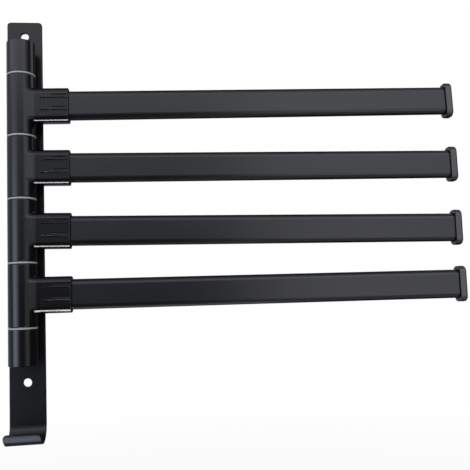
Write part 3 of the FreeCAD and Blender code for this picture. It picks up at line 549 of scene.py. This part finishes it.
def pan_screw_distance(points):
    """Screw at the back of a socket, its head against the socket's back face."""
    along, across, upright = points.T
    side = along - SCREW_DISTANCE
    radial = np.hypot(side, upright)
    head_face = SOCKET_HALF_DEPTH + PAN_HEAD_HEIGHT
    head = overlap(radial - PAN_HEAD_RADIUS, across - head_face, PAN_HEAD_ROUND)
    head = np.maximum(head, SOCKET_HALF_DEPTH - across)
    length = between(across, SOCKET_HALF_DEPTH - ARM_SCREW_LENGTH, SOCKET_HALF_DEPTH + HEAD_OVERLAP)
    shank = np.maximum(radial - ARM_SCREW_RADIUS, length)
    return np.maximum(np.minimum(head, shank), -cross_recess(side, upright, head_face - across))


def sunk_screw_distance(points):
    """Countersunk screw from the back of the wall strip, its head flush with the back."""
    side, across, upright = points.T
    radial = np.hypot(side, upright)
    depth = -across
    cone = radial - SUNK_HEAD_RADIUS + depth * SUNK_HEAD_SLOPE
    shank = np.maximum(radial - FOOT_SCREW_RADIUS, depth - FOOT_SCREW_LENGTH)
    screw = np.maximum(np.minimum(np.maximum(cone, depth - SUNK_HEAD_HEIGHT), shank), -depth)
    return np.maximum(screw, -cross_recess(side, upright, depth))


def shifted(height):
    """Placing function that only moves points up or down."""

    def place(points, normals):
        return points + np.array((0, 0, height)), normals

    return place


def make_screws():
    around = grid_lines(-4.2 * MM, 4.2 * MM, 0.35 * MM, 0.35 * MM)
    tip = SOCKET_HALF_DEPTH - ARM_SCREW_LENGTH - MM
    head = (SOCKET_HALF_DEPTH - 0.5 * MM, SOCKET_HALF_DEPTH + 3 * MM)
    lines = (around + SCREW_DISTANCE, grid_lines(tip, head[1], 0.7 * MM, 0.3 * MM, head), around)
    for arm in ARM_NUMBERS:
        screw = solid(pan_screw_distance, lines, on_arm(arm))
        make_piece("socket_screw_%d" % arm, [screw], "dark_screw", "arm_%d" % arm, "arm_screw_%d" % arm)
    head = (-2.5 * MM, 0.6 * MM)
    lines = (around, grid_lines(-9 * MM, head[1], 0.7 * MM, 0.3 * MM, head), around)
    screws = [solid(sunk_screw_distance, lines, shifted(height)) for height in FOOT_SCREW_HEIGHTS]
    make_piece("foot_screws", screws, "dark_screw", "wall_frame", "post_end_screws")


# ---------------------------------------------------------------- wall strip, bent from a flat blank
STRIP_HALF_WIDTH = 14 * MM
STRIP_THICKNESS = 2.5 * MM
STRIP_CORNER = 3 * MM
STRIP_EDGE_ROUND = 0.7 * MM
STRIP_TOP = 153.85 * MM
WALL_HOLE_HEIGHTS = (141.25 * MM, -141.25 * MM)
WALL_HOLE_RADIUS = 3.25 * MM
HOLE_RIM_ROUND = 0.4 * MM
HOOK_RADIUS = 13.2 * MM
HOOK_LIP_DROP = 3.5 * MM  # from the bend's centre down to the end of the lip
BEND_Y = -HOOK_RADIUS
BEND_Z = -173.25 * MM
BEND_RADIUS = HOOK_RADIUS - STRIP_THICKNESS / 2
BEND_ANGLE = math.pi - math.asin(HOOK_LIP_DROP / HOOK_RADIUS)
BEND_START = STRIP_TOP - BEND_Z
BLANK_LENGTH = BEND_START + BEND_RADIUS * BEND_ANGLE
FINE_REACH = 4.5 * MM


def blank_distance(points):
    """Flat blank of the strip: X across it, Y down its length, Z from its middle to its front."""
    side, down, front = points.T
    half_length = BLANK_LENGTH / 2
    plan = rounded_rectangle(side, down - half_length, STRIP_HALF_WIDTH, half_length, STRIP_CORNER)
    plate = overlap(plan, np.abs(front) - STRIP_THICKNESS / 2, STRIP_EDGE_ROUND)
    for height in WALL_HOLE_HEIGHTS:
        hole = np.hypot(side, down - (STRIP_TOP - height)) - WALL_HOLE_RADIUS
        plate = overlap(plate, -hole, HOLE_RIM_ROUND)
    for height in FOOT_SCREW_HEIGHTS:
        radial = np.hypot(side, down - (STRIP_TOP - height))
        depth = front + STRIP_THICKNESS / 2
        sink = radial - SUNK_HEAD_RADIUS - SCREW_FIT + depth * SUNK_HEAD_SLOPE
        plate = np.maximum(plate, -np.minimum(sink, radial - FOOT_SCREW_RADIUS - SCREW_FIT))
    return plate


def bend_blank(points, normals):
    """Stand the blank up against the wall and bend its lower end into the hook."""
    side, down, front = points.T
    side = -side
    angle = np.maximum(down - BEND_START, 0) / BEND_RADIUS
    radius = BEND_RADIUS - front
    straight = np.minimum(down, BEND_START)
    none = np.zeros(len(side))
    height = STRIP_TOP - straight - radius * np.sin(angle)
    placed = np.stack((side, BEND_Y + radius * np.cos(angle), height), axis=1)
    aside = np.array((-1, 0, 0))
    downwards = np.stack((none, -np.sin(angle), -np.cos(angle)), axis=1)
    to_front = np.stack((none, -np.cos(angle), np.sin(angle)), axis=1)
    turned = normals[:, :1] * aside + normals[:, 1:2] * downwards + normals[:, 2:] * to_front
    return placed, turned


def make_strip():
    """The strip's grid is fine at its edges, its ends and its holes."""
    places = [STRIP_TOP - height for height in WALL_HOLE_HEIGHTS + FOOT_SCREW_HEIGHTS]
    holes = [(down - FINE_REACH, down + FINE_REACH) for down in places]
    upper_end = (-MM, 4 * MM)
    lip = (BLANK_LENGTH - 4 * MM, BLANK_LENGTH + MM)
    side = STRIP_HALF_WIDTH + MM
    edge = STRIP_HALF_WIDTH - 1.5 * MM
    middle = (-FINE_REACH, FINE_REACH)
    straight_lines = grid_lines(-MM, BEND_START - 1.2 * MM, 2.5 * MM, 0.45 * MM, upper_end, *holes)
    bend_lines = grid_lines(BEND_START, lip[1], 0.9 * MM, 0.35 * MM, lip)
    lines = (grid_lines(-side, side, 1.2 * MM, 0.35 * MM, (-side, -edge), middle, (edge, side)),
             np.concatenate((straight_lines, bend_lines)),
             grid_lines(-1.75 * MM, 1.75 * MM, 0.35 * MM, 0.35 * MM))
    strip = solid(blank_distance, lines, bend_blank)
    make_piece("strip", [strip], "strip_paint", "wall_frame", "wall_strip")


# ---------------------------------------------------------------- fixed post ends
END_RIM_ROUND = 0.4 * MM
FOOT_HALF_WIDTH = 7 * MM
FOOT_INSET = 2 * MM
FOOT_ROUND = 0.6 * MM
FOOT_FILLET = 0.8 * MM
THREAD_CLEARANCE = 0.2 * MM
SPINDLE_BORE = 4.05 * MM
POCKET_RADIUS = 8.25 * MM
UPPER_POCKET = 8.8 * MM
LOWER_POCKET = 13.8 * MM


def make_post_ends():
    """Each end is modelled with its pocket at the top; the lower one is then turned upside down."""
    foot_reach = -STRIP_THICKNESS - POST_Y
    thread_tip = foot_reach - FOOT_SCREW_LENGTH + STRIP_THICKNESS - THREAD_CLEARANCE
    for node, outwards in (("upper_post_end", 1), ("lower_post_end", -1)):
        low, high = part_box(node)
        half_length = (high.z - low.z) / 2
        middle = (high.z + low.z) / 2
        pocket_depth = UPPER_POCKET if outwards > 0 else LOWER_POCKET
        screws = [abs(height - middle) for height in FOOT_SCREW_HEIGHTS if low.z < height < high.z]

        def distance(points, half_length=half_length, pocket_depth=pocket_depth, screw=max(screws)):
            side, across, upright = points.T
            radial = np.hypot(side, across)
            body = overlap(radial - SLEEVE_RADIUS, np.abs(upright) - half_length, END_RIM_ROUND)
            foot_half_length = half_length - FOOT_INSET
            foot = rounded_rectangle(side, upright, FOOT_HALF_WIDTH, foot_half_length, FOOT_ROUND)
            foot = np.maximum(foot, between(across, 0, foot_reach))
            body = join(body, foot, FOOT_FILLET)
            body = np.maximum(body, across - foot_reach)
            pocket = np.maximum(radial - POCKET_RADIUS, (half_length - pocket_depth) - upright)
            thread = np.hypot(side, np.abs(upright) - screw) - FOOT_SCREW_RADIUS - SCREW_FIT
            thread = np.maximum(thread, thread_tip - across)
            for cut in (pocket, radial - SPINDLE_BORE, thread):
                body = np.maximum(body, -cut)
            return body

        def place(points, normals, outwards=outwards, middle=middle):
            flip = np.array((outwards, 1, outwards))
            return points * flip + np.array((0, POST_Y, middle)), normals * flip

        top = half_length + MM
        rims = ((-top, -top + 2.5 * MM), (top - 2.5 * MM, top))
        lines = (grid_lines(-12 * MM, 12 * MM, 0.6 * MM, 0.6 * MM),
                 grid_lines(-12 * MM, foot_reach + MM, 0.6 * MM, 0.6 * MM),
                 grid_lines(-top, top, 0.7 * MM, 0.3 * MM, *rims))
        post_end = solid(distance, lines, place)
        make_piece("fixed_" + node, [post_end], "post_end_paint", "wall_frame", node)


# ---------------------------------------------------------------- plugs in the post's ends
POST_PLUG_RADIUS = 8.15 * MM
POST_PLUG_DOME = 1.3 * MM
POST_PLUG_ROUND = 0.4 * MM


def make_plugs():
    for node, outwards in (("upper_post_plug", 1), ("lower_post_plug", -1)):
        low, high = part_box(node)
        face = high.z if outwards > 0 else -low.z
        thickness = high.z - low.z

        def distance(points, face=face, thickness=thickness):
            side, across, upright = points.T
            radial = np.hypot(side, across)
            rise = 1 - np.minimum(radial / POST_PLUG_RADIUS, 1) ** 2
            dome = upright - face - POST_PLUG_DOME * rise
            disc = overlap(radial - POST_PLUG_RADIUS, dome, POST_PLUG_ROUND)
            return np.maximum(disc, face - thickness - upright)

        def place(points, normals, outwards=outwards):
            flip = np.array((1, outwards, outwards))
            return points * flip + np.array((0, POST_Y, 0)), normals * flip

        around = grid_lines(-9 * MM, 9 * MM, 0.6 * MM, 0.6 * MM)
        lines = (around, around, grid_lines(face - thickness - MM, face + 2 * MM, 0.4 * MM, 0.4 * MM))
        plug = solid(distance, lines, place)
        make_piece("domed_" + node, [plug], "post_end_paint", "wall_frame", node)


for arm in ARM_NUMBERS:
    make_hub(arm)
    make_cap(arm)
make_screws()
make_strip()
make_post_ends()
make_plugs()

# ---------------------------------------------------------------- floor, light and painted reflections
FLOOR_DROP = 0.30
FLOOR_REACH = 8.0
FLOOR_TONE = (0.8, 0.8, 0.8, 1)
FLOOR_ROUGHNESS = 0.9
FLOOR_GLOW = 0.90
FLOOR_FADE_START = 0.8
FLOOR_FADE_END = 2.0
BACKGROUND_WHITE = 1.0
WORLD_STRENGTH = 0.4
ROOM_RADIUS = 2.4
ROOM_DEPTH = 0.42
ROOM_STEP = 4.0
# tone of the painted dark reflection all round the object, which shades nothing
PAINTED_DARK_ROOM_TONE = np.array((0.05, 0.05, 0.055))
LOW_PANEL_DEPTH = 0.40
FRONT_PANEL_Y = -0.45
PANEL_CELLS = 24


class PaintedSoftbox:
    """A painted highlight: a soft light that only reflections show and that lights nothing. Azimuth 0 is
    in front, 90 at the right; angles in degrees.
    """

    def __init__(self, azimuth, elevation, width, height, soft, colour):
        self.azimuth = azimuth
        self.elevation = elevation
        self.width = width
        self.height = height
        self.soft = soft
        self.colour = np.array(colour)

    def glow(self, azimuth, elevation):
        aside = smooth_step(0, self.soft, abs(azimuth - self.azimuth) - self.width / 2)
        above = smooth_step(0, self.soft, abs(elevation - self.elevation) - self.height / 2)
        return self.colour * (1 - aside) * (1 - above)


# painted highlights on the walls of the reflection-only room
PAINTED_SOFTBOXES = (
    PaintedSoftbox(azimuth=-10, elevation=40, width=130, height=44, soft=26, colour=(0.79, 0.83, 0.93)),
    PaintedSoftbox(azimuth=-15, elevation=29, width=120, height=6, soft=9, colour=(1.5, 1.5, 1.54)),
    PaintedSoftbox(azimuth=-26, elevation=0, width=8, height=24, soft=12, colour=(0.5, 0.52, 0.58)),
    PaintedSoftbox(azimuth=-49, elevation=-12, width=4, height=20, soft=29, colour=(3.5, 3.9, 4.8)),
    PaintedSoftbox(azimuth=-130, elevation=0, width=70, height=80, soft=24, colour=(0.42, 0.44, 0.5)),
    PaintedSoftbox(azimuth=108, elevation=36, width=14, height=24, soft=14, colour=(1.2, 1.2, 1.25)),
)


def seen_directly(tree):
    """1 for rays from the camera, also after a reflection; 0 for the light that falls on the object."""
    path = tree.nodes.new("ShaderNodeLightPath")
    total = path.outputs["Is Camera Ray"]
    for ray in ("Is Glossy Ray", "Is Transmission Ray"):
        more = tree.nodes.new("ShaderNodeMath")
        more.operation = "MAXIMUM"
        tree.links.new(total, more.inputs[0])
        tree.links.new(path.outputs[ray], more.inputs[1])
        total = more.outputs[0]
    return total


def scaled(tree, value, low, high):
    node = tree.nodes.new("ShaderNodeMapRange")
    node.inputs["To Min"].default_value = low
    node.inputs["To Max"].default_value = high
    tree.links.new(value, node.inputs["Value"])
    return node.outputs["Result"]


def light_world():
    world = bpy.data.worlds.new("studio")
    world.use_nodes = True
    bpy.context.scene.world = world
    tree = world.node_tree
    background = tree.nodes["Background"]
    background.inputs["Color"].default_value = (1, 1, 1, 1)
    tree.links.new(scaled(tree, seen_directly(tree), WORLD_STRENGTH, BACKGROUND_WHITE),
                   background.inputs["Strength"])


def make_floor():
    """A pale floor: white where the camera looks at it, apart from the object's soft shadow."""
    mesh = bpy.data.meshes.new("floor")
    height = cad_low.z - FLOOR_DROP
    signs = ((-1, -1), (1, -1), (1, 1), (-1, 1))
    corners = [(x * FLOOR_REACH, y * FLOOR_REACH, height) for x, y in signs]
    mesh.from_pydata(corners, [], [(0, 1, 2, 3)])
    floor = bpy.data.objects.new("floor", mesh)
    bpy.context.scene.collection.objects.link(floor)
    shader = Shader("floor")
    shader.surface.inputs["Base Color"].default_value = FLOOR_TONE
    shader.surface.inputs["Roughness"].default_value = FLOOR_ROUGHNESS
    shader.surface.inputs["Specular IOR Level"].default_value = 0.0
    place = shader.add("ShaderNodeTexCoord").outputs["Object"]
    reach = shader.add("ShaderNodeVectorMath", operation="LENGTH")
    shader.link(place, reach.inputs[0])
    fade = shader.add("ShaderNodeMapRange", **{"From Min": FLOOR_FADE_START, "From Max": FLOOR_FADE_END,
                                               "To Min": FLOOR_GLOW, "To Max": 1.0})
    shader.link(reach.outputs["Value"], fade.inputs["Value"])
    share = shader.add("ShaderNodeMath", operation="MULTIPLY")
    shader.link(fade.outputs["Result"], share.inputs[0])
    shader.link(seen_directly(shader.tree), share.inputs[1])
    glow = shader.add("ShaderNodeEmission")
    mix = shader.add("ShaderNodeMixShader")
    shader.link(share.outputs[0], mix.inputs[0])
    shader.link(shader.surface.outputs[0], mix.inputs[1])
    shader.link(glow.outputs[0], mix.inputs[2])
    shader.link(mix.outputs[0], shader.tree.nodes["Material Output"].inputs["Surface"])
    floor.data.materials.append(shader.material)


def painted_reflection_screen(name, points, faces, tones, see_through=False):
    """A glowing mesh that paints reflections: only reflections see it and it lights nothing. It has a
    tone for each of its points.
    """
    mesh = bpy.data.meshes.new(name)
    mesh.from_pydata(points, [], faces)
    mesh.attributes.new("tone", "FLOAT_COLOR", "POINT").data.foreach_set("color", tones)
    shader = Shader(name)
    tone = shader.add("ShaderNodeAttribute", attribute_name="tone")
    glow = shader.add("ShaderNodeEmission")
    shader.tree.nodes.remove(shader.surface)
    shader.link(tone.outputs["Color"], glow.inputs["Color"])
    surface = glow.outputs[0]
    if see_through:
        both = shader.add("ShaderNodeAddShader")
        shader.link(surface, both.inputs[0])
        shader.link(shader.add("ShaderNodeBsdfTransparent").outputs[0], both.inputs[1])
        surface = both.outputs[0]
    shader.link(surface, shader.tree.nodes["Material Output"].inputs["Surface"])
    mesh.materials.append(shader.material)
    screen = bpy.data.objects.new(name, mesh)
    for ray in ("camera", "diffuse", "transmission", "shadow", "volume_scatter"):
        setattr(screen, "visible_" + ray, False)
    bpy.context.scene.collection.objects.link(screen)
    return screen


def make_painted_reflection_room():
    """Painted reflections: a dark room with the painted softbox highlights on its walls. Only reflections
    see it; it lights nothing and casts no shade.
    """
    rows = [-90 + ROOM_STEP * n for n in range(int(180 / ROOM_STEP) + 1)]
    columns = [-180 + ROOM_STEP * n for n in range(int(360 / ROOM_STEP))]
    points = []
    tones = []
    for elevation in rows:
        sink = math.sin(math.radians(-elevation))
        distance = min(ROOM_RADIUS, ROOM_DEPTH / sink) if sink > 0 else ROOM_RADIUS
        level = distance * math.cos(math.radians(elevation))
        for azimuth in columns:
            turn = math.radians(azimuth)
            points.append((level * math.sin(turn), -level * math.cos(turn), -distance * sink))
            tone = PAINTED_DARK_ROOM_TONE + sum(box.glow(azimuth, elevation) for box in PAINTED_SOFTBOXES)
            tones.extend((*tone, 1.0))
    faces = []
    for row in range(len(rows) - 1):
        for column in range(len(columns)):
            following = (column + 1) % len(columns)
            start = row * len(columns)
            above = start + len(columns)
            faces.append((start + column, start + following, above + following, above + column))
    painted_reflection_screen("room", points, faces, tones)


def make_panel(name, centre, across, upwards, soft, colour):
    """A flat painted highlight, a soft light that only reflections see and that lights nothing: its
    centre, two half sides and its soft border.
    """
    points = []
    tones = []
    for row in range(PANEL_CELLS + 1):
        for column in range(PANEL_CELLS + 1):
            first = 2 * column / PANEL_CELLS - 1
            second = 2 * row / PANEL_CELLS - 1
            points.append(Vector(centre) + Vector(across) * first + Vector(upwards) * second)
            from_side = (1 - abs(first)) * Vector(across).length
            from_end = (1 - abs(second)) * Vector(upwards).length
            share = float(smooth_step(0, soft, min(from_side, from_end)))
            tones.extend((*(np.array(colour) * share), 1.0))
    width = PANEL_CELLS + 1
    starts = [row * width + column for row in range(PANEL_CELLS) for column in range(PANEL_CELLS)]
    faces = [(start, start + 1, start + width + 1, start + width) for start in starts]
    return painted_reflection_screen(name, points, faces, tones, see_through=True)


def make_low_panel(name, centre, half_sides, soft, colour):
    """A level painted-highlight panel below the object; centre and half sides along X and Y."""
    across, away = half_sides
    return make_panel(name, (*centre, -LOW_PANEL_DEPTH), (across, 0, 0), (0, away, 0), soft, colour)


def make_front_panel(name, centre, half_sides, soft, colour):
    """An upright painted-highlight panel in front of the object; centre and half sides along X and Z."""
    place = (centre[0], FRONT_PANEL_Y, centre[1])
    across, upwards = half_sides
    return make_panel(name, place, (across, 0, 0), (0, 0, upwards), soft, colour)


def light_only(screen, piece_names):
    """Let a screen's painted reflection show up only in the pieces named."""
    lit = bpy.data.collections.new(screen.name + "_receivers")
    for piece_name in piece_names:
        lit.objects.link(bpy.data.objects[piece_name])
    screen.light_linking.receiver_collection = lit


def make_lamp(name, place, target, width, height, watts):
    data = bpy.data.lights.new(name, "AREA")
    data.shape = "RECTANGLE"
    data.size = width
    data.size_y = height
    data.energy = watts
    lamp = bpy.data.objects.new(name, data)
    lamp.location = place
    lamp.rotation_euler = (Vector(target) - Vector(place)).to_track_quat("-Z", "Y").to_euler()
    lamp.visible_camera = False
    lamp.visible_glossy = False
    bpy.context.scene.collection.objects.link(lamp)


light_world()
make_floor()
make_painted_reflection_room()
connectors = ["connector_%d" % arm for arm in ARM_NUMBERS]
tubes_and_caps = ["%s_%d" % (kind, arm) for arm in ARM_NUMBERS for kind in ("arm_tube", "cap")]
# painted highlights and reflections from panels that light nothing: the bright line under the connectors,
# the strip's lower end and hook, and the tones along the tubes and caps
connector_painted_highlight = make_low_panel("connector_painted_highlight", (0.02, -0.10), (0.13, 0.12), 0.03, (31.0, 31.0, 32.0))
strip_painted_reflection = make_low_panel("strip_painted_reflection", (-0.04, -0.15), (0.13, 0.17), 0.05, (3.7, 4.2, 5.3))
tube_painted_reflection = make_low_panel("tube_painted_reflection", (0.0, 0.02), (0.3, 0.13), 0.08, (1.9, 2.0, 2.2))
under_panel = make_low_panel("under_panel", (0.50, -0.20), (0.40, 0.25), 0.15, (0.6, 0.63, 0.7))
make_front_panel("right_panel", (0.50, -0.03), (0.34, 0.37), 0.16, (1.16, 1.16, 1.22))
low_right = make_front_panel("low_right_panel", (0.52, -0.16), (0.34, 0.26), 0.17, (0.9, 0.91, 0.96))
light_only(connector_painted_highlight, connectors)
light_only(strip_painted_reflection, ["strip"])
for panel in (tube_painted_reflection, under_panel, low_right):
    light_only(panel, tubes_and_caps)
make_lamp("soft_lamp", place=(-0.5, -1.6, 1.2), target=(0.1, 0, 0), width=1.6, height=1.2, watts=20.0)

scene = bpy.context.scene
scene.view_settings.view_transform = "Standard"
